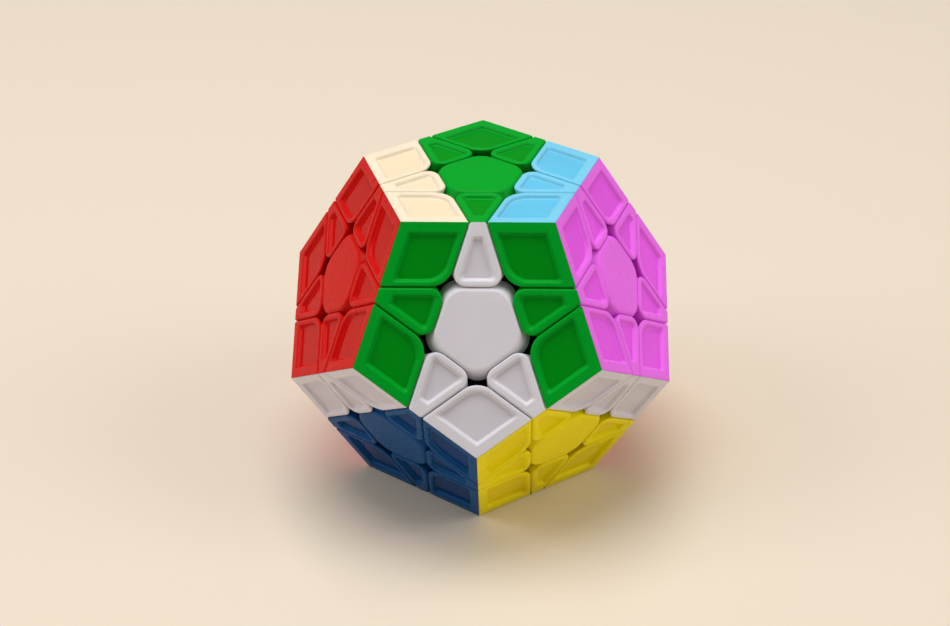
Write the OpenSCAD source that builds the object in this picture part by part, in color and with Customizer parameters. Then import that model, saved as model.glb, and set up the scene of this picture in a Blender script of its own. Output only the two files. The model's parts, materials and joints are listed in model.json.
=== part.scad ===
// Twelve-sided twisty puzzle: 20 corners, 30 edges and 12 centres that turn round one core.
// Every face has a layer that turns about its own axis through the core's centre, the origin.
// The body stands on its lime face, with the green face on top (+Z) and the white face in front (-Y).

/* [Overall] */
// Length of each straight edge of the body
edge = 31; // [27:0.5:36]
// Width of an edge tile where it meets the body's edge, which sets where the cuts lie
edge_tip = 4.3; // [3.5:0.1:5.5]

/* [Fit] */
// Gap between neighbouring pieces that slide past each other
gap = 0.2; // [0.15:0.05:0.4]
// Gap between parts of one piece that are pressed or snapped together
seam = 0.05; // [0.04:0.01:0.1]

/* [Tiles] */
// Radius of a corner piece's rounded inner corners
corner_round = 5.2; // [3:0.1:6.3]
// Radius of an edge piece's rounded inner corners
edge_round = 2.2; // [1.3:0.1:2.6]
// Radius of a centre piece's rounded corners
centre_round = 4.8; // [2:0.1:6]
// Depth of the sunken panel in each corner and edge tile
panel_depth = 0.8; // [0.3:0.1:1.2]
// Width of the raised rim along the body's edges
outer_rim = 2.15; // [1.5:0.05:3]
// Width of the raised rim at an edge tile's narrow end
tip_rim = 2.85; // [2.2:0.05:3.5]
// Width of the raised rim along the cut lines
inner_rim = 1.75; // [1.2:0.05:2.2]
// Radius of a corner panel's rounded inner corner
panel_round = 3.8; // [2:0.1:4.6]

/* [Shells] */
// Thickness of the coloured shells under each face
face_wall = 2.2; // [1.8:0.1:2.6]
// Thickness of the coloured shells along the cut planes
side_wall = 1.2; // [0.8:0.1:1.5]
// Thickness of the collar that closes each shell from below
collar = 1.2; // [0.8:0.1:1.4]

/* [Feet] */
// Depth from the middle of a face to the shell of space where the feet run
foot_depth = 3; // [2.6:0.1:3.4]
// Thickness of the feet
foot_thickness = 3.5; // [2.5:0.1:4]
// How far each foot hooks under its neighbours
foot_reach = 2.9; // [2:0.1:3.2]

/* [Centres] */
// Thickness of the centre caps
cap_thickness = 2.2; // [1.8:0.1:2.6]
// Radius of the flange that the feet slide on
flange_radius = 10.5; // [9:0.1:11]
// Thickness of that flange at its rim
flange_thickness = 1.6; // [1:0.1:2]
// Radius of the stem below the flange
stem_radius = 5.6; // [5.2:0.1:6]
// Depth of the spring's pocket below the cap
pocket_depth = 10.4; // [9.5:0.1:11]
// Radius of the spring's pocket
pocket_radius = 4.2; // [4:0.1:4.5]
// Thickness of the pocket's floor
floor_thickness = 1.6; // [1.2:0.1:2]
// Depth of the cap's snap ring in the pocket
snap_depth = 1.2; // [0.8:0.1:1.4]
// Wall of the cap's snap ring
snap_wall = 0.9; // [0.7:0.1:1.1]

/* [Core and fasteners] */
// Radius of the core's ball
ball_radius = 11; // [9:0.5:12]
// Radius of the core's arms
arm_radius = 4; // [3.5:0.1:4.5]
// Distance from the core's centre to the tips of the screws
screw_tip = 6; // [4:0.5:8]
// Radius of the screws' shanks
screw_radius = 1.5; // [1.3:0.05:1.6]
// Radius of the screws' heads
head_radius = 3.4; // [3.2:0.1:3.6]
// Height of the screws' heads
head_height = 1.8; // [1.5:0.1:2]
// Length of the cross in the screws' heads
slot_length = 4; // [3:0.1:4.6]
// Width of that cross's slots
slot_width = 0.8; // [0.6:0.1:1]
// Depth of that cross
slot_depth = 1; // [0.6:0.1:1.2]
// Clearance round the shanks in the centres and washers
shank_clearance = 0.4; // [0.2:0.05:0.5]
// Clearance between the washers and the pockets' walls
washer_clearance = 0.4; // [0.2:0.05:0.6]
// Thickness of the washers
washer_thickness = 0.4; // [0.3:0.05:0.6]
// Radius of the springs' wire
wire_radius = 0.3; // [0.25:0.05:0.35]
// Radius from a spring's axis to the middle of its wire
coil_radius = 2.55; // [2.4:0.05:2.7]
// Number of turns in each spring
coil_turns = 5; // [4:1:7]

/* [State] */
// Clicks by which the red layer is turned, anticlockwise as seen from outside
red_clicks = -1; // [-2:1:2]
// Clicks by which the purple layer is turned, anticlockwise as seen from outside
purple_clicks = 1; // [-2:1:2]

/* [Hidden] */
$fn = 64;
// The angle of one click, and a neighbouring face's direction: its rise and its reach along a face
CLICK = 72;
RISE = 1 / sqrt(5);
REACH = 2 / sqrt(5);
// A regular dodecahedron: distance from the centre to a face, and from a face's middle to its edges
face_dist = edge * sqrt(10 * (25 + 11 * sqrt(5))) / 20;
apothem = edge / (2 * tan(36));
// The cut: its line on a face, and its plane's distance from the centre
cut_line = apothem - (edge - edge_tip) / 2;
cut_dist = face_dist * RISE + cut_line * REACH;
above_cut = cut_dist + gap / 2;
below_cut = cut_dist - gap / 2;
// The feet run between two spheres, and are cut by planes of their own
foot_outer = face_dist - foot_depth;
foot_inner = foot_outer - foot_thickness;
foot_cut = cut_dist - foot_reach;
above_foot_cut = foot_cut + gap / 2;
below_foot_cut = foot_cut - gap / 2;
collar_low = foot_outer + gap / 2;
collar_high = collar_low + collar;
// How deep the parts of one solid run into each other
bite = 0.2;
// The hub fills the room that the neighbouring feet leave where they come nearest
hub_radius = foot_outer * sin(acos(RISE) - acos(foot_cut / foot_outer)) - gap;
// Heights on a centre's axis
cap_seat = face_dist - cap_thickness;
pocket_floor = cap_seat - pocket_depth;
base_bottom = pocket_floor - floor_thickness;
arm_end = base_bottom - gap;
arm_root = ball_radius - arm_radius / 2;
washer_top = pocket_floor + seam + washer_thickness;
head_top = cap_seat - snap_depth - gap;
head_bottom = head_top - head_height;
flange_top = foot_inner - gap / 2;
flange_low = sqrt(pow(flange_top, 2) - pow(flange_radius, 2)) - flange_thickness;
hub_top = min(collar_low + bite, cap_seat - seam);
// Far enough to pass every piece
far = 2 * edge;
arc_steps = 6;
wire_sides = 6;
steps_per_turn = 12;

UP = [0, 0, 1];
function side(k) = [REACH * cos(CLICK * k), REACH * sin(CLICK * k), RISE];
function unit(v) = v / norm(v);
// Right-hand turn of v by angle about the unit vector axis
function turned(v, axis, angle) =
    v * cos(angle) + cross(axis, v) * sin(angle) + axis * (axis * v) * (1 - cos(angle));

// The twelve faces: top, upper ring, lower ring and bottom
FACE_NAMES = ["green", "white", "purple", "sky", "cream", "red",
    "yellow", "orange", "grey", "pink", "blue", "lime"];
FACE_COLOURS = ["#00b419", "#ebe8e8", "#e164d7", "#78cdeb", "#faebcd", "#c8140f",
    "#ebd714", "#f5821e", "#969698", "#ffa0be", "#194b82", "#82d732"];
FACES = concat([UP], [for (k = [0:4]) turned(side(k), UP, -90)],
    [for (k = [0:4]) -turned(side(k), UP, 126)], [-UP]);
WHITE = 1;
PURPLE = 2;
RED = 5;
LIME = 11;
INSIDE = "#26262a";
STEEL = "#b8bcc0";

function adjacent(i, j) = i != j && FACES[i] * FACES[j] > 0;
function in_order(i, j, k) = cross(FACES[i], FACES[j]) * FACES[k] > 0 ? [i, j, k] : [i, k, j];
CORNERS = [for (i = [0:11], j = [i + 1:11], k = [j + 1:11])
    if (adjacent(i, j) && adjacent(j, k) && adjacent(i, k)) in_order(i, j, k)];
EDGES = [for (i = [0:11], j = [i + 1:11]) if (adjacent(i, j)) [i, j]];
FIXED_CENTRES = [for (i = [0:11]) if (i != RED && i != PURPLE && i != LIME) i];

// A turned layer carries its pieces' colours to the faces that they now lie on
function has(piece, face) = len([for (f = piece) if (f == face) f]) > 0;
function home_face(face, layer, clicks) =
    [for (f = [0:11]) if (FACES[f] * turned(FACES[face], FACES[layer], -CLICK * clicks) > 0.9) f][0];
function colour_of(face, piece) = has(piece, RED) ? home_face(face, RED, red_clicks)
    : has(piece, PURPLE) ? home_face(face, PURPLE, purple_clicks) : face;
function joined(piece, i = 0) =
    i == len(piece) ? "" : str("_", FACE_NAMES[colour_of(piece[i], piece)], joined(piece, i + 1));
function corner_name(c) = str("corner", joined(c));
function edge_name(e) = str("edge", joined(e));

// Carries a piece that is built on the top face, with its neighbour towards +X, to face n and neighbour m
function seat(n, m) = let (x = unit(m - n * (n * m)), y = cross(n, x))
    [[x[0], y[0], n[0], 0], [x[1], y[1], n[1], 0], [x[2], y[2], n[2], 0], [0, 0, 0, 1]];
// Lays X along a and Y in the plane of a and b
function lay(a, b) = let (y = unit(b - a * (a * b)), z = cross(a, y))
    [[a[0], y[0], z[0], 0], [a[1], y[1], z[1], 0], [a[2], y[2], z[2], 0], [0, 0, 0, 1]];

// Outline with each corner rounded to its radius
function arc_at(p, before, after, r) = let (u = unit(before - p), v = unit(after - p),
        half = acos(u * v) / 2, c = p + unit(u + v) * r / sin(half), start = p + u * r / tan(half) - c,
        turn = cross([u[0], u[1], 0], [v[0], v[1], 0])[2] < 0 ? 180 - 2 * half : 2 * half - 180)
    [for (s = [0:arc_steps]) let (t = turn * s / arc_steps)
        c + [start[0] * cos(t) - start[1] * sin(t), start[0] * sin(t) + start[1] * cos(t)]];
function rounded(points, radii) = let (n = len(points)) [for (i = [0:n - 1])
    each radii[i] > 0 ? arc_at(points[i], points[(i + n - 1) % n], points[(i + 1) % n], radii[i])
        : [points[i]]];
// Where the line at distance p along X meets the line at distance q along a direction at angle phi
function meet(phi, p, q) = [p, (q - p * cos(phi)) / sin(phi)];
// Slanted four-sided outline between two pairs of lines, rounded where their low sides meet
function lozenge(phi, p, q, r) = rounded([meet(phi, p[0], q[0]), meet(phi, p[1], q[0]),
    meet(phi, p[1], q[1]), meet(phi, p[0], q[1])], [r, 0, 0, 0]);

// Space between two pairs of planes, p along direction a and q along b, with its low edge rounded
module prism(a, b, p, q, r) {
    multmatrix(lay(a, b))
        linear_extrude(height = 2 * far, center = true)
            polygon(lozenge(acos(a * b), p, q, r));
}

// Space from start to far along direction a
module beyond(a, start) {
    multmatrix(lay(a, abs(a[2]) > 0.9 ? [1, 0, 0] : UP))
        translate([start, -far, -far])
            cube([far, 2 * far, 2 * far]);
}

module sphere_shell(low, high) {
    difference() {
        sphere(high);
        sphere(low);
    }
}

// Corner piece: the room of its outer body, between the planes at low and at high of its three faces
module corner_room(low, high, r) {
    intersection() {
        prism(UP, side(0), [low, high], [low, high], r);
        prism(side(0), side(1), [low, high], [low, high], r);
        prism(side(1), UP, [low, high], [low, high], r);
    }
}

module corner_shell() {
    inner = above_cut + side_wall;
    difference() {
        intersection() {
            prism(side(0), side(1), [above_cut, far], [above_cut, far], corner_round);
            beyond(-UP, -face_dist);
            beyond(unit(UP - side(0)), seam / 2);
            beyond(unit(UP - side(1)), seam / 2);
        }
        sphere(collar_high + seam);
        intersection() {
            prism(side(0), side(1), [inner, far], [inner, far], corner_round - side_wall);
            beyond(-UP, face_wall - face_dist);
        }
        translate([0, 0, face_dist - panel_depth])
            linear_extrude(height = 2 * panel_depth)
                polygon(lozenge(CLICK, [cut_line + inner_rim, apothem - outer_rim],
                    [cut_line + inner_rim, apothem - outer_rim], panel_round));
    }
}

module corner_foot() {
    intersection() {
        corner_room(above_cut, far, corner_round);
        sphere_shell(foot_outer - gap / 2 - bite, collar_high);
    }
    difference() {
        corner_room(above_cut + side_wall + seam, face_dist - face_wall - seam, corner_round - side_wall);
        sphere(collar_low);
    }
    intersection() {
        sphere_shell(foot_inner + gap / 2, foot_outer - gap / 2);
        beyond(UP, above_foot_cut);
        beyond(side(0), above_foot_cut);
        beyond(side(1), above_foot_cut);
    }
}

// Edge piece: the room of its outer body, between the low and high planes of its two faces and inside
// the planes at side of the two faces that lie at its ends
module edge_room(low, high, side_limit, r) {
    intersection() {
        prism(side(0), -side(1), [low, high], [-side_limit, far], r);
        prism(side(0), -side(4), [low, high], [-side_limit, far], r);
        prism(UP, -side(1), [low, high], [-side_limit, far], r);
        prism(UP, -side(4), [low, high], [-side_limit, far], r);
    }
}

module edge_shell() {
    inner = above_cut + side_wall;
    outer = below_cut - side_wall;
    difference() {
        intersection() {
            prism(side(0), -side(1), [above_cut, far], [-below_cut, far], edge_round);
            prism(side(0), -side(4), [above_cut, far], [-below_cut, far], edge_round);
            beyond(-UP, -face_dist);
            beyond(unit(UP - side(0)), seam / 2);
        }
        sphere(collar_high + seam);
        intersection() {
            prism(side(0), -side(1), [inner, far], [-outer, far], edge_round - side_wall);
            prism(side(0), -side(4), [inner, far], [-outer, far], edge_round - side_wall);
            beyond(-UP, face_wall - face_dist);
        }
        translate([0, 0, face_dist - panel_depth])
            linear_extrude(height = 2 * panel_depth)
                edge_panel();
    }
}

// The near-triangular panel of an edge tile
module edge_panel() {
    near = cut_line + inner_rim;
    outside = apothem - tip_rim;
    flank = cut_line - inner_rim;
    tip = meet(CLICK, outside, flank);
    foot = meet(CLICK, near, flank);
    polygon([foot, [foot[0], -foot[1]], [tip[0], -tip[1]], tip]);
}

module edge_foot() {
    intersection() {
        edge_room(above_cut, far, below_cut, edge_round);
        sphere_shell(collar_low, collar_high);
    }
    intersection() {
        edge_room(above_cut + bite, far, below_foot_cut - bite, 0);
        sphere_shell(foot_outer - gap / 2 - bite, collar_low + bite);
    }
    difference() {
        edge_room(above_cut + side_wall + seam, face_dist - face_wall - seam,
            below_cut - side_wall - seam, edge_round - side_wall);
        sphere(collar_low);
    }
    intersection() {
        sphere_shell(foot_inner + gap / 2, foot_outer - gap / 2);
        beyond(UP, above_foot_cut);
        beyond(side(0), above_foot_cut);
        beyond(-side(1), -below_foot_cut);
        beyond(-side(4), -below_foot_cut);
    }
}

// Centre piece: its five-sided room below the plane at high, with its five sides moved in by inset
module centre_room(high, inset) {
    limits = [inset - below_cut, far];
    intersection() {
        intersection_for (k = [0:4])
            prism(-side(k), -side(k + 1), limits, limits, centre_round - inset);
        translate([0, 0, foot_inner])
            cylinder(r = far, h = high - foot_inner);
    }
}

module centre_cap() {
    difference() {
        centre_room(face_dist, 0);
        centre_room(cap_seat, side_wall);
        intersection() {
            sphere(collar_high + seam);
            beyond(-UP, -cap_seat);
        }
    }
    translate([0, 0, cap_seat - snap_depth])
        difference() {
            cylinder(r = pocket_radius - seam, h = snap_depth + bite);
            translate([0, 0, -bite])
                cylinder(r = pocket_radius - seam - snap_wall, h = snap_depth + bite);
        }
}

module centre_base() {
    difference() {
        union() {
            intersection() {
                centre_room(cap_seat - seam, 0);
                sphere_shell(collar_low, collar_high);
            }
            difference() {
                centre_room(cap_seat - seam, side_wall + seam);
                sphere(collar_low);
            }
            translate([0, 0, flange_low])
                cylinder(r = hub_radius, h = hub_top - flange_low);
            intersection() {
                translate([0, 0, flange_low])
                    cylinder(r = flange_radius, h = far);
                sphere(flange_top);
            }
            translate([0, 0, base_bottom])
                cylinder(r = stem_radius, h = hub_top - base_bottom);
        }
        translate([0, 0, pocket_floor])
            cylinder(r = pocket_radius, h = far);
        translate([0, 0, base_bottom - bite])
            cylinder(r = screw_radius + shank_clearance, h = far);
    }
}

module centre(face) {
    multmatrix(seat(FACES[face], neighbour_of(face))) {
        color(FACE_COLOURS[face]) centre_cap();
        color(INSIDE) centre_base();
    }
}

function neighbour_of(face) = [for (f = [0:11]) if (adjacent(face, f)) FACES[f]][0];

module on_faces(list) {
    for (f = list)
        multmatrix(seat(FACES[f], neighbour_of(f)))
            children();
}

module corner(c) {
    for (k = [0:2])
        color(FACE_COLOURS[colour_of(c[k], c)])
            multmatrix(seat(FACES[c[k]], FACES[c[(k + 1) % 3]]))
                corner_shell();
    color(INSIDE)
        multmatrix(seat(FACES[c[0]], FACES[c[1]]))
            corner_foot();
}

module edge_piece(e) {
    for (k = [0:1])
        color(FACE_COLOURS[colour_of(e[k], e)])
            multmatrix(seat(FACES[e[k]], FACES[e[1 - k]]))
                edge_shell();
    color(INSIDE)
        multmatrix(seat(FACES[e[0]], FACES[e[1]]))
            edge_foot();
}

module core() {
    color(INSIDE)
        difference() {
            union() {
                sphere(ball_radius);
                on_faces([0:11])
                    translate([0, 0, arm_root])
                        cylinder(r = arm_radius, h = arm_end - arm_root);
            }
            on_faces([0:11])
                translate([0, 0, screw_tip])
                    cylinder(r = screw_radius + seam, h = far);
        }
}

module screw() {
    difference() {
        union() {
            translate([0, 0, screw_tip + seam])
                cylinder(r = screw_radius, h = head_bottom - screw_tip);
            translate([0, 0, head_bottom])
                cylinder(r = head_radius, h = head_height);
        }
        for (turn = [0, 90])
            rotate([0, 0, turn])
                translate([-slot_length / 2, -slot_width / 2, head_top - slot_depth])
                    cube([slot_length, slot_width, head_height]);
    }
}

module washer() {
    translate([0, 0, pocket_floor + seam])
        difference() {
            cylinder(r = pocket_radius - washer_clearance, h = washer_thickness);
            translate([0, 0, -washer_thickness])
                cylinder(r = screw_radius + shank_clearance, h = 3 * washer_thickness);
        }
}

// Compression spring: a wire swept along a helix from the washer to the screw's head
module spring() {
    low = washer_top + seam + wire_radius;
    pitch = (head_bottom - seam - wire_radius - low) / coil_turns;
    last = coil_turns * steps_per_turn;
    rings = [for (s = [0:last], w = [0:wire_sides - 1])
        let (a = 360 * s / steps_per_turn, b = 360 * w / wire_sides, r = coil_radius + wire_radius * cos(b))
        [r * cos(a), r * sin(a), low + pitch * s / steps_per_turn + wire_radius * sin(b)]];
    walls = [for (s = [0:last - 1], w = [0:wire_sides - 1])
        let (here = s * wire_sides, on = (w + 1) % wire_sides)
        [here + w, here + wire_sides + w, here + wire_sides + on, here + on]];
    first_end = [for (w = [0:wire_sides - 1]) w];
    last_end = [for (w = [wire_sides - 1:-1:0]) last * wire_sides + w];
    polyhedron(rings, concat(walls, [first_end, last_end]));
}

module screws() {
    color(STEEL) on_faces([0:11]) screw();
}

module springs() {
    color(STEEL) on_faces([0:11]) spring();
}

module washers() {
    color(STEEL) on_faces([0:11]) washer();
}

module centre_cap_white() {
    color(FACE_COLOURS[WHITE]) on_faces([WHITE]) centre_cap();
}

module centre_caps() {
    for (f = FIXED_CENTRES)
        if (f != WHITE)
            color(FACE_COLOURS[f]) on_faces([f]) centre_cap();
}

module centre_bases() {
    color(INSIDE) on_faces(FIXED_CENTRES) centre_base();
}

for (c = CORNERS)
    corner(c);
for (e = EDGES)
    edge_piece(e);
centre(RED);  // centre_red
centre(PURPLE);  // centre_purple
centre(LIME);  // centre_lime
centre_cap_white();
centre_caps();
centre_bases();
core();
screws();
springs();
washers();
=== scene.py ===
# %% [markdown]
# # A twelve-sided twisty puzzle
# The real puzzle is a dodecahedron of moulded plastic. It has 20 corner pieces, 30 edge pieces and
# 12 centres, and each piece is a dark foot with one hollow coloured shell for every face that it shows.
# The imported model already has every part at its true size, so this lesson builds the shells again with
# soft edges and sunken panels, copies them to their places, and gives everything its finish.

# %% Load the frame
import bmesh
import bpy
import json
import math
from mathutils import Matrix, Vector

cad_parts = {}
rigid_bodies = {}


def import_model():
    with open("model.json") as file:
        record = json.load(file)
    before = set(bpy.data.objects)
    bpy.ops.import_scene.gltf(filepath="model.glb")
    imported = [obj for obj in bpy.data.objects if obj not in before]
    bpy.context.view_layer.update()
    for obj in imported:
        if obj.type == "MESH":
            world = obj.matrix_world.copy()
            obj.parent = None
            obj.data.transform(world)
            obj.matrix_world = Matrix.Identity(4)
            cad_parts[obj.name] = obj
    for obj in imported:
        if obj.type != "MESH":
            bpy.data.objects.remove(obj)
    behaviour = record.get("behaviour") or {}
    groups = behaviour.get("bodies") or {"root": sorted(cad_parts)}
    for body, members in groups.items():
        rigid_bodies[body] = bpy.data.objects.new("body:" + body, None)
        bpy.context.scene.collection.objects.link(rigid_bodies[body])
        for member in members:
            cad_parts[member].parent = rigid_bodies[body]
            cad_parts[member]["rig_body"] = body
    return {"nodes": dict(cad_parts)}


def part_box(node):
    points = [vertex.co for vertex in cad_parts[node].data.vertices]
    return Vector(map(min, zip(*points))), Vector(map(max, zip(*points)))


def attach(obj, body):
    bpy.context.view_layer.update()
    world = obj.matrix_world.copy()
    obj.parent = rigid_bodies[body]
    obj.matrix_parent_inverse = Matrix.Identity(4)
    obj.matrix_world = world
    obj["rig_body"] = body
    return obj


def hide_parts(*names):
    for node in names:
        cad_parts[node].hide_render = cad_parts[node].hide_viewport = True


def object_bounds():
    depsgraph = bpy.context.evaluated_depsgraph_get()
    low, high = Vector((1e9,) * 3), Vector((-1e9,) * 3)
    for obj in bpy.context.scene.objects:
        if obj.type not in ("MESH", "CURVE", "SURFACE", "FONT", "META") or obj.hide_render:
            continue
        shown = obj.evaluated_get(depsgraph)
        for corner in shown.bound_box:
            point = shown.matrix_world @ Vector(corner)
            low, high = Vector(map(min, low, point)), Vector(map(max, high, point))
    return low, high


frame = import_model()
cad_box = [list(corner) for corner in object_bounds()]
bpy.ops.object.select_all(action="DESELECT")
print("box in mm:", [[round(1000 * v, 2) for v in corner] for corner in cad_box])

# %% [markdown]
# ## The sizes
# The shells are modelled in millimetres, because that is how a mould maker thinks and because the
# modelling tools weld points that lie closer than about a tenth of a unit. Each copy is brought to
# metres when it is placed. The puzzle stands on one face, so the top of its box is the distance from
# the middle of the puzzle to a face, and the other sizes follow from that and from the mould's own. An
# edge tile is narrowest at the body's edge, and its width there sets where all the cuts lie. The width of
# a rim runs to where its panel's wall begins.

# %% Sizes in millimetres
MM = 0.001
FACE_DIST = cad_box[1][2] / MM
EDGE = FACE_DIST * 20 / math.sqrt(10 * (25 + 11 * math.sqrt(5)))
APOTHEM = EDGE / (2 * math.tan(math.radians(36)))
RISE, REACH = 1 / math.sqrt(5), 2 / math.sqrt(5)
EDGE_TIP = 4.3
CUT_LINE = APOTHEM - (EDGE - EDGE_TIP) / 2
CUT_DIST = FACE_DIST * RISE + CUT_LINE * REACH
GAP, SEAM = 0.2, 0.05
ABOVE_CUT, BELOW_CUT = CUT_DIST + GAP / 2, CUT_DIST - GAP / 2
FOOT_DEPTH, COLLAR = 3, 1.2
COLLAR_HIGH = FACE_DIST - FOOT_DEPTH + GAP / 2 + COLLAR
BELOW_COLLAR = 2.4
SIDE_WALL, FACE_WALL, CAP_WALL = 1.2, 2.2, 2.2
CORNER_ROUND, EDGE_ROUND, CENTRE_ROUND = 5.2, 2.2, 4.8
SOFT_EDGE, CAP_SOFT_EDGE = 0.4, 0.95
OUTER_RIM, INNER_RIM, PANEL_DEPTH = 1.85, 1.0, 0.8
TIP_RIM, NEAR_RIM = 2.7, 1.25
PANEL_ROUND, PANEL_CRISP, PANEL_BLUNT = 3.8, 0.45, 0.63
print("edge", round(EDGE, 2), "face distance", round(FACE_DIST, 2), "cut distance", round(CUT_DIST, 2))

# %% [markdown]
# ## Where everything goes
# One face points up, and five more lean out round it. Opposite each of these six lies one of the other
# six. A corner is where three faces meet and an edge is where two meet, so both lists come from asking
# which faces are neighbours. A seat is the turn that carries a piece modelled on the top face, with its
# neighbour towards +X, to its own face of the puzzle.

# %% Directions of the faces
UP = Vector((0, 0, 1))


def side(k):
    """Direction of the k-th face round the top one, at 72 degrees from each other."""
    angle = math.radians(72 * k)
    return Vector((REACH * math.cos(angle), REACH * math.sin(angle), RISE))


def turned_ring(degrees, sign):
    turn = Matrix.Rotation(math.radians(degrees), 3, "Z")
    return [sign * (turn @ side(k)) for k in range(5)]


FACES = [UP] + turned_ring(-90, 1) + turned_ring(126, -1) + [-UP]
FACE_NAMES = ["green", "white", "purple", "sky", "cream", "red",
              "yellow", "orange", "grey", "pink", "blue", "lime"]


def neighbours(i, j):
    return i != j and FACES[i].dot(FACES[j]) > 0


def in_order(i, j, k):
    """The three faces of a corner, anticlockwise as seen from outside."""
    return [i, j, k] if FACES[i].cross(FACES[j]).dot(FACES[k]) > 0 else [i, k, j]


EDGES = [[i, j] for i in range(12) for j in range(i + 1, 12) if neighbours(i, j)]
CORNERS = [in_order(i, j, k) for i, j in EDGES for k in range(j + 1, 12)
           if neighbours(i, k) and neighbours(j, k)]
print(len(CORNERS), "corners and", len(EDGES), "edges")


def seat(face, neighbour):
    """Carries a piece from the top face to this one, with +X towards its neighbour, and to metres."""
    z = FACES[face]
    x = (FACES[neighbour] - z * z.dot(FACES[neighbour])).normalized()
    y = z.cross(x)
    turn = Matrix((x, y, z)).transposed()
    return turn.to_4x4() @ Matrix.Scale(MM, 4)


# %% [markdown]
# ## Tools for the bench
# Five small helpers do what a hand does on the modelling bench. The first sets out a block of material,
# the second slices off all that lies beyond a plane and closes the cut, the third picks faces or edges by
# a rule, the fourth rounds over what was picked, and the last carves one solid with another. Two rules go
# with the third: faces that look one way, and edges between faces that look two given ways. Working from
# a block with plane cuts suits this puzzle, because every real piece is bounded by the planes along which
# the layers slide.

# %% Bench helpers
SAME_WAY, NEARLY_SAME_WAY = 0.9999, 0.999
CLOSE = 0.01
BLOCK, CAP_BLOCK = 30, 60


def set_out_block(name, size, middle):
    """A cube of plastic, opened in edit mode."""
    bpy.ops.mesh.primitive_cube_add(size=size, location=middle)
    block = bpy.context.object
    block.name = name
    bpy.ops.object.transform_apply(location=True, rotation=True, scale=True)
    bpy.ops.object.mode_set(mode="EDIT")
    return block


def slice_off(normal, distance):
    """Removes what lies beyond the plane at that distance along normal."""
    bpy.ops.mesh.select_all(action="SELECT")
    bpy.ops.mesh.bisect(plane_co=normal.normalized() * distance, plane_no=normal,
                        use_fill=True, clear_outer=True, threshold=1e-5)


def pick(kind, rule):
    """Selects the faces, edges or vertices that pass the rule, and tells how many did."""
    bpy.ops.mesh.select_mode(type=kind)
    bpy.ops.mesh.select_all(action="DESELECT")
    mesh = bmesh.from_edit_mesh(bpy.context.object.data)
    mesh.normal_update()
    found = 0
    for item in {"VERT": mesh.verts, "EDGE": mesh.edges, "FACE": mesh.faces}[kind]:
        if rule(item):
            item.select_set(True)
            found += 1
    bmesh.update_edit_mesh(bpy.context.object.data)
    return found


def round_over(radius, inside, segments):
    """Rounds the picked edges, whose two faces make the angle inside, to one radius."""
    bpy.ops.mesh.bevel(offset=radius / math.tan(inside / 2), segments=segments, affect="EDGES")


def faces_along(normal, distance=None):
    """A rule for faces that look along normal, at that distance if one is given."""
    def rule(face):
        looks = face.normal.dot(normal.normalized()) > SAME_WAY
        return looks and (distance is None
                          or abs(face.calc_center_median().dot(normal.normalized()) - distance) < CLOSE)
    return rule


def between(normals):
    """A rule for edges whose two faces look along two different ones of these directions."""
    def rule(edge):
        hits = [[n for n, normal in enumerate(normals) if face.normal.dot(normal) > SAME_WAY]
                for face in edge.link_faces]
        return len(hits) == 2 and all(hits) and hits[0] != hits[1]
    return rule


def carve(piece, tool, how="DIFFERENCE"):
    """Cuts the tool's shape out of the piece, or joins it on, and puts the tool away."""
    bpy.ops.object.select_all(action="DESELECT")
    bpy.context.view_layer.objects.active = piece
    piece.select_set(True)
    bpy.ops.object.modifier_add(type="BOOLEAN")
    cut = piece.modifiers[-1]
    cut.operation, cut.solver, cut.object = how, "EXACT", tool
    bpy.ops.object.modifier_apply(modifier=cut.name)
    bpy.data.objects.remove(tool)


print("bench ready")

# %% [markdown]
# ## Soft edges
# A mould never has a knife edge: here every outer edge of a tile is rounded to 0.4 mm. A bevel's width is
# measured along the faces, so an edge between two faces that meet at a sharp angle needs a wider bevel
# for the same radius. Each edge therefore carries a bevel weight worked out from its own angle, and one
# bevel modifier rounds them all together, which also makes clean corners.

# %% Soften the outside of a block
def soften(piece, radius, rule, segments=4):
    """Rounds the edges that pass the rule to one radius, whatever angle they have."""
    mesh = bmesh.from_edit_mesh(piece.data)
    mesh.normal_update()
    weights = mesh.edges.layers.float.new("bevel_weight_edge")
    widths = {}
    for edge in mesh.edges:
        if rule(edge):
            inside = math.pi - edge.calc_face_angle()
            widths[edge.index] = radius / math.tan(inside / 2)
    widest = max(widths.values())
    for edge in mesh.edges:
        edge[weights] = widths.get(edge.index, 0) / widest
    bmesh.update_edit_mesh(piece.data)
    bpy.ops.object.mode_set(mode="OBJECT")
    bpy.ops.object.modifier_add(type="BEVEL")
    bevel = piece.modifiers[-1]
    bevel.limit_method, bevel.width, bevel.segments = "WEIGHT", widest, segments
    bevel.use_clamp_overlap = False
    bpy.ops.object.modifier_apply(modifier=bevel.name)
    print(piece.name, "soft edges:", len(widths), "widest bevel", round(widest, 2), "mm")


def touches_outside(edge):
    """True for an edge of a face that lies on the outside of the puzzle."""
    return any(abs(max(face.normal.dot(out) * face.calc_center_median().dot(out)
                       for out in (UP, side(0), side(1))) - FACE_DIST) < CLOSE
               for face in edge.link_faces)


# %% [markdown]
# ## The sunken panels
# Corner and edge tiles have a flat panel sunk 0.8 mm into them, and its wall runs in a soft S from the
# rim to the floor. The panel could be inset straight into the tile, but its corners have radii of their
# own, so it is made as a plug and carved out. The plug is a block with the panel's outline. Its lower
# face is inset and pushed down nine times, a little steeper and then a little flatter each time, which
# draws the S, and the edges down its corners are bevelled last. The wall rolls off the rim gently and
# lands on the floor more crisply, and every rim's width is measured to where its wall begins.

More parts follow.
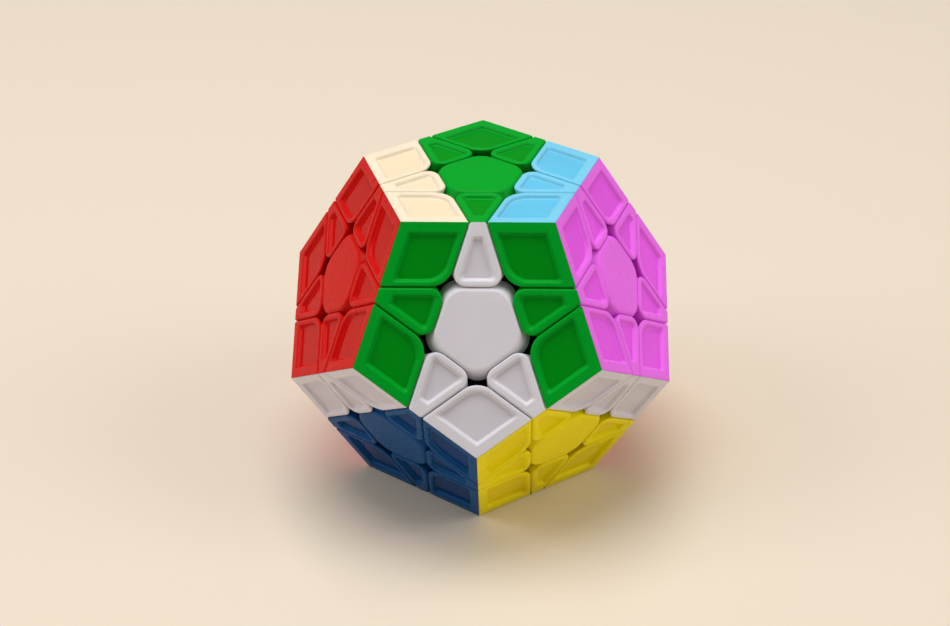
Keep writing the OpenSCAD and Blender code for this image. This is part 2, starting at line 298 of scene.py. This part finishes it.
# %% The panel's wall
WALL_SLOPES = [8, 22, 38, 52, 62, 66, 60, 40, 14]
PLUG_SIZE, PLUG_TOP = 40, 1
wall_step = PANEL_DEPTH / sum(math.sin(math.radians(slope)) for slope in WALL_SLOPES)
WALL_WIDTH = wall_step * sum(math.cos(math.radians(slope)) for slope in WALL_SLOPES)
print("panel wall", round(WALL_WIDTH, 2), "mm wide and", PANEL_DEPTH, "mm deep")


def flat_plane(degrees):
    angle = math.radians(degrees)
    return Vector((math.cos(angle), math.sin(angle), 0))


def make_plug(name, sides, middle):
    """A plug for a panel: sides gives each wall's direction in degrees, distance and corner radius."""
    plug = set_out_block(name, PLUG_SIZE, Vector((middle.x, middle.y, FACE_DIST + PLUG_SIZE / 2)))
    for degrees, distance, _ in sides:
        slice_off(flat_plane(degrees), distance)
    slice_off(UP, FACE_DIST + PLUG_TOP)
    pick("FACE", faces_along(-UP))
    for slope in WALL_SLOPES:
        angle = math.radians(slope)
        bpy.ops.mesh.inset(thickness=wall_step * math.cos(angle), depth=wall_step * math.sin(angle))
    for n, (degrees, distance, radius) in enumerate(sides):
        following = sides[(n + 1) % len(sides)]
        round_plug_corner(flat_plane(degrees), flat_plane(following[0]), radius)
    bpy.ops.object.mode_set(mode="OBJECT")
    return plug


def round_plug_corner(this_way, next_way, radius):
    """Bevels the chain of edges where two walls of the plug meet."""
    def rule(edge):
        looks = [face.normal.copy() for face in edge.link_faces]
        for normal in looks:
            normal.z = 0
        if len(looks) < 2 or min(normal.length for normal in looks) < CLOSE:
            return False
        looks = [normal.normalized() for normal in looks]
        return any(looks[a].dot(this_way) > NEARLY_SAME_WAY and looks[1 - a].dot(next_way) > NEARLY_SAME_WAY
                   for a in (0, 1))
    count = pick("EDGE", rule)
    inside = math.pi - this_way.angle(next_way)
    round_over(radius, inside, 6)
    print("plug corner:", count, "edges, radius", radius)


# %% [markdown]
# ## A corner tile
# A corner piece shows three tiles that meet at a point of the body. The six planes round it leave a
# slanted block. Its three inner edges are rounded to 5.2 mm, which makes the dark pockets beside the
# centres, and the outside is softened. Then the panel is carved, and two slices from the middle of the
# puzzle part this tile from the other two, because each colour is moulded on its own.

# %% Slice the corner's block
VERTEX = (UP + side(0) + side(1)).normalized()
OUTSIDE = [UP, side(0), side(1)]
corner_shell = set_out_block("corner_shell", BLOCK, VERTEX * 42)
for way in OUTSIDE:
    slice_off(way, FACE_DIST)
    slice_off(-way, -ABOVE_CUT)
slice_off(-VERTEX, BELOW_COLLAR - COLLAR_HIGH)
inner_edges = pick("EDGE", between([-way for way in OUTSIDE]))
inner_angle = math.pi - side(0).angle(side(1))
round_over(CORNER_ROUND, inner_angle, 10)
print("corner block:", inner_edges, "inner edges rounded")
soften(corner_shell, SOFT_EDGE, touches_outside)

# %% [markdown]
# The tile's panel follows its outline: two sides run along the body's edges behind a wide rim, and two
# along the cuts behind a narrow one. Only the corner that points at the centre cap is rounded widely.

# %% Sink the corner's panel
rim = CUT_LINE + INNER_RIM
outer = APOTHEM - OUTER_RIM
corner_sides = [(0, outer, PANEL_CRISP), (72, outer, PANEL_CRISP),
                (180, -rim, PANEL_ROUND), (252, -rim, PANEL_CRISP)]
halfway_out = 0.5 * (rim + outer) / math.cos(math.radians(36))
panel_middle = (flat_plane(0) + flat_plane(72)).normalized() * halfway_out
carve(corner_shell, make_plug("corner_plug", corner_sides, panel_middle))
print("corner tile:", len(corner_shell.data.polygons), "faces")

# %% [markdown]
# ## Parting and hollowing a tile
# The colours meet in the middle of the body's edges, so a tile ends on the plane that halves the angle
# between its face and the next. Underneath, all shells end on one sphere round the middle of the puzzle,
# where the foot's collar closes them. Inside, a smaller copy of the same block is carved out, so that
# the walls are 1.2 mm thick and the face is 2.2 mm thick, as on the moulded part.

# %% Tools that part and hollow
def part_from(piece, others):
    """Slices the piece along the planes that halve the angles to its neighbours' faces."""
    bpy.context.view_layer.objects.active = piece
    bpy.ops.object.mode_set(mode="EDIT")
    for other in others:
        slice_off(other - UP, -SEAM / 2)
    bpy.ops.object.mode_set(mode="OBJECT")


def make_dome():
    """The sphere on which every shell ends."""
    bpy.ops.mesh.primitive_uv_sphere_add(segments=160, ring_count=80, radius=COLLAR_HIGH + SEAM)
    return bpy.context.object


SMOOTH_BELOW = 35


def mark_panel_floor(piece):
    """Gives the floor of the panel the second material: polished, with painted shade in its darker colour.
    """
    for face in piece.data.polygons:
        sunken = abs(face.center.z - FACE_DIST + PANEL_DEPTH) < CLOSE
        face.material_index = 1 if sunken and face.normal.z > SAME_WAY else 0


def finish_shading(piece):
    """Smooth where the surface curves, flat where it is flat."""
    bpy.ops.object.select_all(action="DESELECT")
    bpy.context.view_layer.objects.active = piece
    piece.select_set(True)
    bpy.ops.object.shade_smooth_by_angle(angle=math.radians(SMOOTH_BELOW))
    bpy.ops.object.modifier_add(type="WEIGHTED_NORMAL")
    piece.modifiers[-1].keep_sharp = True
    bpy.ops.object.modifier_apply(modifier=piece.modifiers[-1].name)
    print(piece.name, "done:", len(piece.data.polygons), "faces")


# %% [markdown]
# First the corner tile is parted from its two neighbours, so that one colour is left. Its hollow has the
# block's shape again, with every side moved in by the thickness of the wall and the rounding made smaller
# by as much. The dome takes away what lies below the collar, and the panel's floor is marked for the
# polished material, whose darker colour is painted shade.

# %% Finish the corner tile
part_from(corner_shell, [side(0), side(1)])
hollow = set_out_block("corner_hollow", BLOCK, VERTEX * 38)
slice_off(UP, FACE_DIST - FACE_WALL)
for way in (side(0), side(1)):
    slice_off(-way, -ABOVE_CUT - SIDE_WALL)
pick("EDGE", between([-side(0), -side(1)]))
round_over(CORNER_ROUND - SIDE_WALL, inner_angle, 8)
bpy.ops.object.mode_set(mode="OBJECT")
carve(corner_shell, hollow)
carve(corner_shell, make_dome())
mark_panel_floor(corner_shell)
finish_shading(corner_shell)

# %% [markdown]
# ## An edge tile
# An edge piece lies between two faces. It narrows towards the body's edge, because the layers on either
# side cut it along their own planes, and only its four inner edges are rounded, to 2.2 mm. Its panel is
# nearly a triangle. The same tools make it from another block.

# %% Slice the edge's block
MIDWAY = (UP + side(0)).normalized()
edge_shell = set_out_block("edge_shell", BLOCK, MIDWAY * 40)
for way in (UP, side(0)):
    slice_off(way, FACE_DIST)
    slice_off(-way, -ABOVE_CUT)
for way in (side(1), side(4)):
    slice_off(way, BELOW_CUT)
slice_off(-MIDWAY, BELOW_COLLAR - COLLAR_HIGH)
inner_edges = pick("EDGE", between([-UP, -side(0), side(1), side(4)]))
narrow_angle = side(0).angle(side(1))
round_over(EDGE_ROUND, narrow_angle, 10)
print("edge block:", inner_edges, "inner edges rounded")
soften(edge_shell, SOFT_EDGE, touches_outside)

# %% [markdown]
# The edge tile's panel has a long wall along each flank, a short one at the narrow end behind the widest
# rim, and one that faces the centre cap. Its two corners beside the cap are a little blunter than the two
# at the narrow end. Parting, hollowing and the floor's polish with painted shade go as on the corner tile,
# with one neighbour less.

# %% Sink its panel, part it and hollow it
flank = CUT_LINE - INNER_RIM
near, tip = CUT_LINE + NEAR_RIM, APOTHEM - TIP_RIM
edge_sides = [(0, tip, PANEL_CRISP), (72, flank, PANEL_BLUNT),
              (180, -near, PANEL_BLUNT), (288, flank, PANEL_CRISP)]
carve(edge_shell, make_plug("edge_plug", edge_sides, Vector(((near + tip) / 2, 0, 0))))
part_from(edge_shell, [side(0)])
hollow = set_out_block("edge_hollow", BLOCK, MIDWAY * 38)
slice_off(UP, FACE_DIST - FACE_WALL)
slice_off(-side(0), -ABOVE_CUT - SIDE_WALL)
for way in (side(1), side(4)):
    slice_off(way, BELOW_CUT - SIDE_WALL)
pick("EDGE", between([-side(0), side(1), side(4)]))
round_over(EDGE_ROUND - SIDE_WALL, narrow_angle, 6)
bpy.ops.object.mode_set(mode="OBJECT")
carve(edge_shell, hollow)
carve(edge_shell, make_dome())
mark_panel_floor(edge_shell)
finish_shading(edge_shell)

# %% [markdown]
# ## A centre cap
# Each face turns on a five-sided centre, and the real one hides its screw and spring under a cap that
# snaps in. The cap has no panel, but its rim is softer than the tiles', almost a millimetre. It is
# hollowed like a tile, and a ring under its middle grips the pocket of the base below it.

# %% Slice and soften the cap
CAP_LOW, HOLLOW_LOW = 29, 27
cap = set_out_block("cap", CAP_BLOCK, UP * 40)
slice_off(UP, FACE_DIST)
slice_off(-UP, -CAP_LOW)
for k in range(5):
    slice_off(side(k), BELOW_CUT)
upright = pick("EDGE", between([side(k) for k in range(5)]))
round_over(CENTRE_ROUND, inner_angle, 10)
print("cap:", upright, "upright edges rounded")
soften(cap, CAP_SOFT_EDGE, touches_outside, segments=6)

# %% [markdown]
# The cap is a dish turned upside down. Its hollow is the same five-sided block with thinner sides, and
# the dome ends its skirt where the base's collar begins. The ring is a short tube, made from a cylinder
# whose lower face is inset and pushed up into it, and it is joined on so that it bites into the cap.

# %% Hollow the cap and give it its ring
CAP_SEAT = FACE_DIST - CAP_WALL
RING_RADIUS, RING_WALL, RING_DEPTH, BITE = 4.15, 0.9, 1.2, 0.2
hollow = set_out_block("cap_hollow", CAP_BLOCK, UP * 40)
slice_off(UP, CAP_SEAT)
slice_off(-UP, -HOLLOW_LOW)
for k in range(5):
    slice_off(side(k), BELOW_CUT - SIDE_WALL)
pick("EDGE", between([side(k) for k in range(5)]))
round_over(CENTRE_ROUND - SIDE_WALL, inner_angle, 8)
bpy.ops.object.mode_set(mode="OBJECT")
carve(cap, hollow)
dome = make_dome()
bpy.ops.object.mode_set(mode="EDIT")
slice_off(UP, CAP_SEAT)
bpy.ops.object.mode_set(mode="OBJECT")
carve(cap, dome)
bpy.ops.mesh.primitive_cylinder_add(vertices=64, radius=RING_RADIUS, depth=RING_DEPTH + BITE,
                                    location=(0, 0, CAP_SEAT - RING_DEPTH / 2 + BITE / 2))
ring = bpy.context.object
bpy.ops.object.transform_apply(location=True)
bpy.ops.object.mode_set(mode="EDIT")
pick("FACE", faces_along(-UP))
bpy.ops.mesh.inset(thickness=RING_WALL, depth=-RING_DEPTH - BITE / 2)
bpy.ops.object.mode_set(mode="OBJECT")
carve(cap, ring, "UNION")
finish_shading(cap)

# %% [markdown]
# ## The feet
# Under the shells sit dark feet, which hook behind their neighbours and hold the puzzle together. They
# show in the gaps and when a layer turns. Their shape comes from the frame: a copy of a node's mesh is
# welded, because it arrives as loose triangles, and parted into its solids. The foot is the solid that
# reaches nearest to the middle. It is then brought back to the top face, like the other masters.

# %% Take a foot out of a copy of its node
def take_foot(node, home):
    """The innermost solid of a CAD node, as a master on the top face in millimetres."""
    bpy.ops.object.select_all(action="DESELECT")
    copy = bpy.data.objects.new(node + "_copy", frame["nodes"][node].data.copy())
    bpy.context.scene.collection.objects.link(copy)
    bpy.context.view_layer.objects.active = copy
    copy.select_set(True)
    bpy.ops.object.mode_set(mode="EDIT")
    bpy.ops.mesh.select_all(action="SELECT")
    bpy.ops.mesh.remove_doubles(threshold=1e-6)
    bpy.ops.mesh.separate(type="LOOSE")
    bpy.ops.object.mode_set(mode="OBJECT")
    solids = sorted(bpy.context.selected_objects, key=lambda s: min(v.co.length for v in s.data.vertices))
    for shell in solids[1:]:
        bpy.data.objects.remove(shell)
    foot = solids[0]
    foot.data.materials.clear()
    foot.data.transform(home.inverted())
    finish_shading(foot)
    return foot


def node_at(kind, faces):
    """The CAD node of that kind that lies nearest to where these faces meet."""
    way = sum((FACES[f] for f in faces), Vector()).normalized()
    names = [name for name in frame["nodes"] if name.startswith(kind + "_")]
    return max(names, key=lambda name: ((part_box(name)[0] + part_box(name)[1]) / 2).normalized().dot(way))


RED = FACE_NAMES.index("red")
corner_foot = take_foot(node_at("corner", CORNERS[0]), seat(CORNERS[0][0], CORNERS[0][1]))
edge_foot = take_foot(node_at("edge", EDGES[0]), seat(EDGES[0][0], EDGES[0][1]))
centre_base = take_foot("centre_red", seat(RED, 0))

# %% [markdown]
# ## Plastic
# The shells are solid-coloured plastic in two finishes. The rims and caps are satin, and the floors of
# the panels are polished and darker: their colour is raised to a power, which paints in the shade that
# falls in the sunken panels.
# Under a lamp such plastic shows a very slight waviness from the mould, small changes in gloss where
# hands touch it, and a faint swirl in the pigment. Three noises of different sizes give these, all read
# from Object coordinates, so the finish stays with its piece as it turns.

# %% A maker's palette
PALETTE = {
    "green": (0.0, 0.35, 0.020), "white": (0.75, 0.72, 0.77), "purple": (0.92, 0.17, 0.91),
    "sky": (0.20, 0.60, 0.81), "cream": (0.90, 0.77, 0.57), "red": (0.64, 0.006, 0.004),
    "yellow": (0.95, 0.80, 0.005), "orange": (0.91, 0.22, 0.013), "grey": (0.30, 0.30, 0.31),
    "pink": (1.0, 0.35, 0.51), "blue": (0.006, 0.075, 0.24), "lime": (0.22, 0.68, 0.03),
}


SWIRL_SCALE, GLOSS_SCALE, RIPPLE_SCALE = 70, 350, 250
RIPPLE_STRENGTH, SHEEN_LEVEL = 0.08, 0.06
RIPPLE_HEIGHT, FOOT_RIPPLE_HEIGHT = 0.00003, 0.00004


def noise_node(tree, where, per_metre, detail):
    node = tree.nodes.new("ShaderNodeTexNoise")
    node.inputs["Scale"].default_value = per_metre
    node.inputs["Detail"].default_value = detail
    tree.links.new(where, node.inputs["Vector"])
    return node.outputs["Fac"]


def spread(tree, source, low, high):
    node = tree.nodes.new("ShaderNodeMapRange")
    node.inputs["From Min"].default_value, node.inputs["From Max"].default_value = 0.3, 0.7
    node.inputs["To Min"].default_value, node.inputs["To Max"].default_value = low, high
    tree.links.new(source, node.inputs["Value"])
    return node.outputs["Result"]


def make_plastic(name, colour, gloss, wave, swirl=0.05):
    """Moulded plastic: gloss is the range of roughness, wave the height of the mould's ripple."""
    plastic = bpy.data.materials.new(name)
    plastic.use_nodes = True
    tree = plastic.node_tree
    shader = tree.nodes["Principled BSDF"]
    where = tree.nodes.new("ShaderNodeTexCoord").outputs["Object"]
    shade = tree.nodes.new("ShaderNodeMix")
    shade.data_type = "RGBA"
    shade.inputs["A"].default_value = (*[(1 - swirl) * c for c in colour], 1)
    shade.inputs["B"].default_value = (*[min(1, (1 + swirl / 2) * c) for c in colour], 1)
    tree.links.new(spread(tree, noise_node(tree, where, SWIRL_SCALE, 3), 0, 1), shade.inputs["Factor"])
    tree.links.new(shade.outputs["Result"], shader.inputs["Base Color"])
    worn = spread(tree, noise_node(tree, where, GLOSS_SCALE, 2), *gloss)
    tree.links.new(worn, shader.inputs["Roughness"])
    ripple = tree.nodes.new("ShaderNodeBump")
    ripple.inputs["Strength"].default_value = RIPPLE_STRENGTH
    ripple.inputs["Distance"].default_value = wave
    tree.links.new(noise_node(tree, where, RIPPLE_SCALE, 1), ripple.inputs["Height"])
    tree.links.new(ripple.outputs["Normal"], shader.inputs["Normal"])
    shader.inputs["Specular IOR Level"].default_value = SHEEN_LEVEL
    return plastic


# The power below darkens the colour of the panel floors, which paints in the shade that falls in the sunken
# panels.
PANEL_SHADE_POWER = 1.25
SATIN_GLOSS, POLISHED_GLOSS, FOOT_GLOSS = (0.26, 0.34), (0.12, 0.18), (0.42, 0.58)
satin, polished_with_painted_shade = {}, {}
for name, colour in PALETTE.items():
    satin[name] = make_plastic(name + "_satin", colour, SATIN_GLOSS, RIPPLE_HEIGHT)
    # The floor's colour raised to the power is painted shade for the recess; its lower roughness is the
    # real polish.
    shaded_floor_colour = [c ** PANEL_SHADE_POWER for c in colour]
    polished_with_painted_shade[name] = make_plastic(name + "_polished", shaded_floor_colour, POLISHED_GLOSS, RIPPLE_HEIGHT)
foot_plastic = make_plastic("dark_foot_plastic", (0.018, 0.018, 0.021), FOOT_GLOSS, FOOT_RIPPLE_HEIGHT)
print(len(satin), "shell colours, each satin and polished")

# %% [markdown]
# ## Metal
# Twelve screws, springs and washers hold the centres to the core. The screws and washers are zinc
# plated, bright with a fine cloudiness, and the springs are drawn wire, darker and a little streaked.

# %% Screws, washers and springs
def make_metal(name, colour, roughness, per_metre):
    metal = bpy.data.materials.new(name)
    metal.use_nodes = True
    tree = metal.node_tree
    shader = tree.nodes["Principled BSDF"]
    where = tree.nodes.new("ShaderNodeTexCoord").outputs["Object"]
    shader.inputs["Metallic"].default_value = 1
    cloud = tree.nodes.new("ShaderNodeMix")
    cloud.data_type = "RGBA"
    cloud.inputs["A"].default_value = (*[0.85 * c for c in colour], 1)
    cloud.inputs["B"].default_value = (*colour, 1)
    tree.links.new(noise_node(tree, where, per_metre, 4), cloud.inputs["Factor"])
    tree.links.new(cloud.outputs["Result"], shader.inputs["Base Color"])
    tree.links.new(spread(tree, noise_node(tree, where, 3 * per_metre, 3), *roughness),
                   shader.inputs["Roughness"])
    return metal


zinc = make_metal("zinc_plate", (0.72, 0.74, 0.76), (0.22, 0.4), 400)
spring_wire = make_metal("spring_wire", (0.42, 0.42, 0.43), (0.28, 0.45), 900)
for node, finish in {"centre_bases": foot_plastic, "core": foot_plastic, "screws": zinc,
                     "washers": zinc, "springs": spring_wire}.items():
    for slot in frame["nodes"][node].material_slots:
        slot.material = finish
    print(node, "is", finish.name)

# %% [markdown]
# ## Copies to their places
# Every master now goes to all its seats, and each copy gets a mesh of its own, the colour that the
# frame names there, and the body that it turns with. Two layers of this puzzle stand one click away
# from solved, so a tile's colour isn't always its face's. The node's name lists the colours in order.

# %% Lay out the copies
def lay_out(master, name, place, body, finishes, node):
    piece = bpy.data.objects.new(name, master.data.copy())
    bpy.context.scene.collection.objects.link(piece)
    piece.data.transform(place)
    for finish in finishes:
        piece.data.materials.append(finish)
    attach(piece, body)
    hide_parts(node)


def lay_out_piece(kind, faces, shell, foot):
    """One corner or edge piece: a shell on each of its faces and its foot."""
    node = node_at(kind, faces)
    body = frame["nodes"][node]["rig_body"]
    colours = node.split("_")[1:]
    for k, colour in enumerate(colours):
        place = seat(faces[k], faces[(k + 1) % len(faces)])
        finishes = [satin[colour], polished_with_painted_shade[colour]]
        lay_out(shell, f"{node}_shell_{colour}", place, body, finishes, node)
    lay_out(foot, f"{node}_foot", seat(faces[0], faces[1]), body, [foot_plastic], node)


for faces in CORNERS:
    lay_out_piece("corner", faces, corner_shell, corner_foot)
for faces in EDGES:
    lay_out_piece("edge", faces, edge_shell, edge_foot)
print("corner and edge pieces in place")

# %% [markdown]
# The centres come last. The red, purple and lime caps ride on their own layers, each with a copy of the
# base. All the other caps stay with the core, and so do their bases, which the frame shows as they are.
# Then the masters are put away, because they stand for no piece of the puzzle.

# %% The twelve centres
for face, colour in enumerate(FACE_NAMES):
    own = "centre_" + colour
    node = own if own in frame["nodes"] else "centre_cap_white" if colour == "white" else "centre_caps"
    body = frame["nodes"][node]["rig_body"]
    beside = next(n for n in range(12) if neighbours(face, n))
    lay_out(cap, f"{own}_cap", seat(face, beside), body, [satin[colour]], node)
    if node == own:
        lay_out(centre_base, f"{own}_base", seat(face, beside), body, [foot_plastic], node)
for master in (corner_shell, edge_shell, cap, corner_foot, edge_foot, centre_base):
    bpy.data.objects.remove(master)

# %% [markdown]
# ## The stage
# The puzzle stands on its lime face on a plain pale floor. The floor's warm tone lights the lower faces
# from below, as a table would. The strongest lamp hangs nearly overhead and lights the top, two weaker
# ones stand high on the left and right for the side faces, and an even, dim world keeps the shadows open.

# %% Floor
bpy.ops.mesh.primitive_plane_add(size=6, location=(0, 0, cad_box[0][2]))
floor = bpy.context.object
floor.name = "floor"
bpy.ops.object.transform_apply(location=True)
paper = bpy.data.materials.new("pale_floor")
paper.use_nodes = True
paper.node_tree.nodes["Principled BSDF"].inputs["Base Color"].default_value = (0.80, 0.69, 0.55, 1)
paper.node_tree.nodes["Principled BSDF"].inputs["Roughness"].default_value = 0.6
floor.data.materials.append(paper)

# %% [markdown]
# The lamps are wide squares, so that their shadows have soft rims, and each is aimed at the puzzle.

# %% Lamps and world
def hang_lamp(name, place, size, watts):
    bpy.ops.object.light_add(type="AREA", location=place)
    lamp = bpy.context.object
    lamp.name = name
    lamp.data.size, lamp.data.energy = size, watts
    lamp.rotation_euler = (-Vector(place)).to_track_quat("-Z", "Y").to_euler()


hang_lamp("top_lamp", (-0.1, 0.15, 1.1), 0.8, 9.0)
hang_lamp("left_lamp", (-1.0, -0.2, 0.8), 0.7, 4.5)
hang_lamp("right_lamp", (1.0, -0.2, 0.8), 0.7, 4.5)
world = bpy.data.worlds.new("studio")
bpy.context.scene.world = world
world.use_nodes = True
world.node_tree.nodes["Background"].inputs["Color"].default_value = (1, 1, 1, 1)
world.node_tree.nodes["Background"].inputs["Strength"].default_value = 0.22

# %% [markdown]
# ## The camera
# A long lens looks down at about 31 degrees, almost straight at the white face, from 43 centimetres. It
# leans by less than half a degree, as a camera held by hand does.

# %% Camera
azimuth, elevation, roll = math.radians(1.62), math.radians(30.81), math.radians(-0.42)
distance, aside, lift, focal_length = 430.3, -1.34, 0.56, 74.9
back = Vector((math.sin(azimuth) * math.cos(elevation), -math.cos(azimuth) * math.cos(elevation),
               math.sin(elevation)))
level = Vector((math.cos(azimuth), math.sin(azimuth), 0))
upward = back.cross(level)
right = math.cos(roll) * level + math.sin(roll) * upward
upright = math.cos(roll) * upward - math.sin(roll) * level
camera = bpy.data.objects.new("camera", bpy.data.cameras.new("camera"))
bpy.context.scene.collection.objects.link(camera)
turn = Matrix((right, upright, back)).transposed().to_4x4()
camera.matrix_world = Matrix.Translation(MM * (distance * back + aside * right + lift * upright)) @ turn
camera.data.sensor_width, camera.data.lens = 36, focal_length
camera.data.clip_start = 0.01
bpy.context.scene.camera = camera
bpy.context.scene.view_settings.view_transform = "Standard"
print("camera at", [round(v, 3) for v in camera.location])
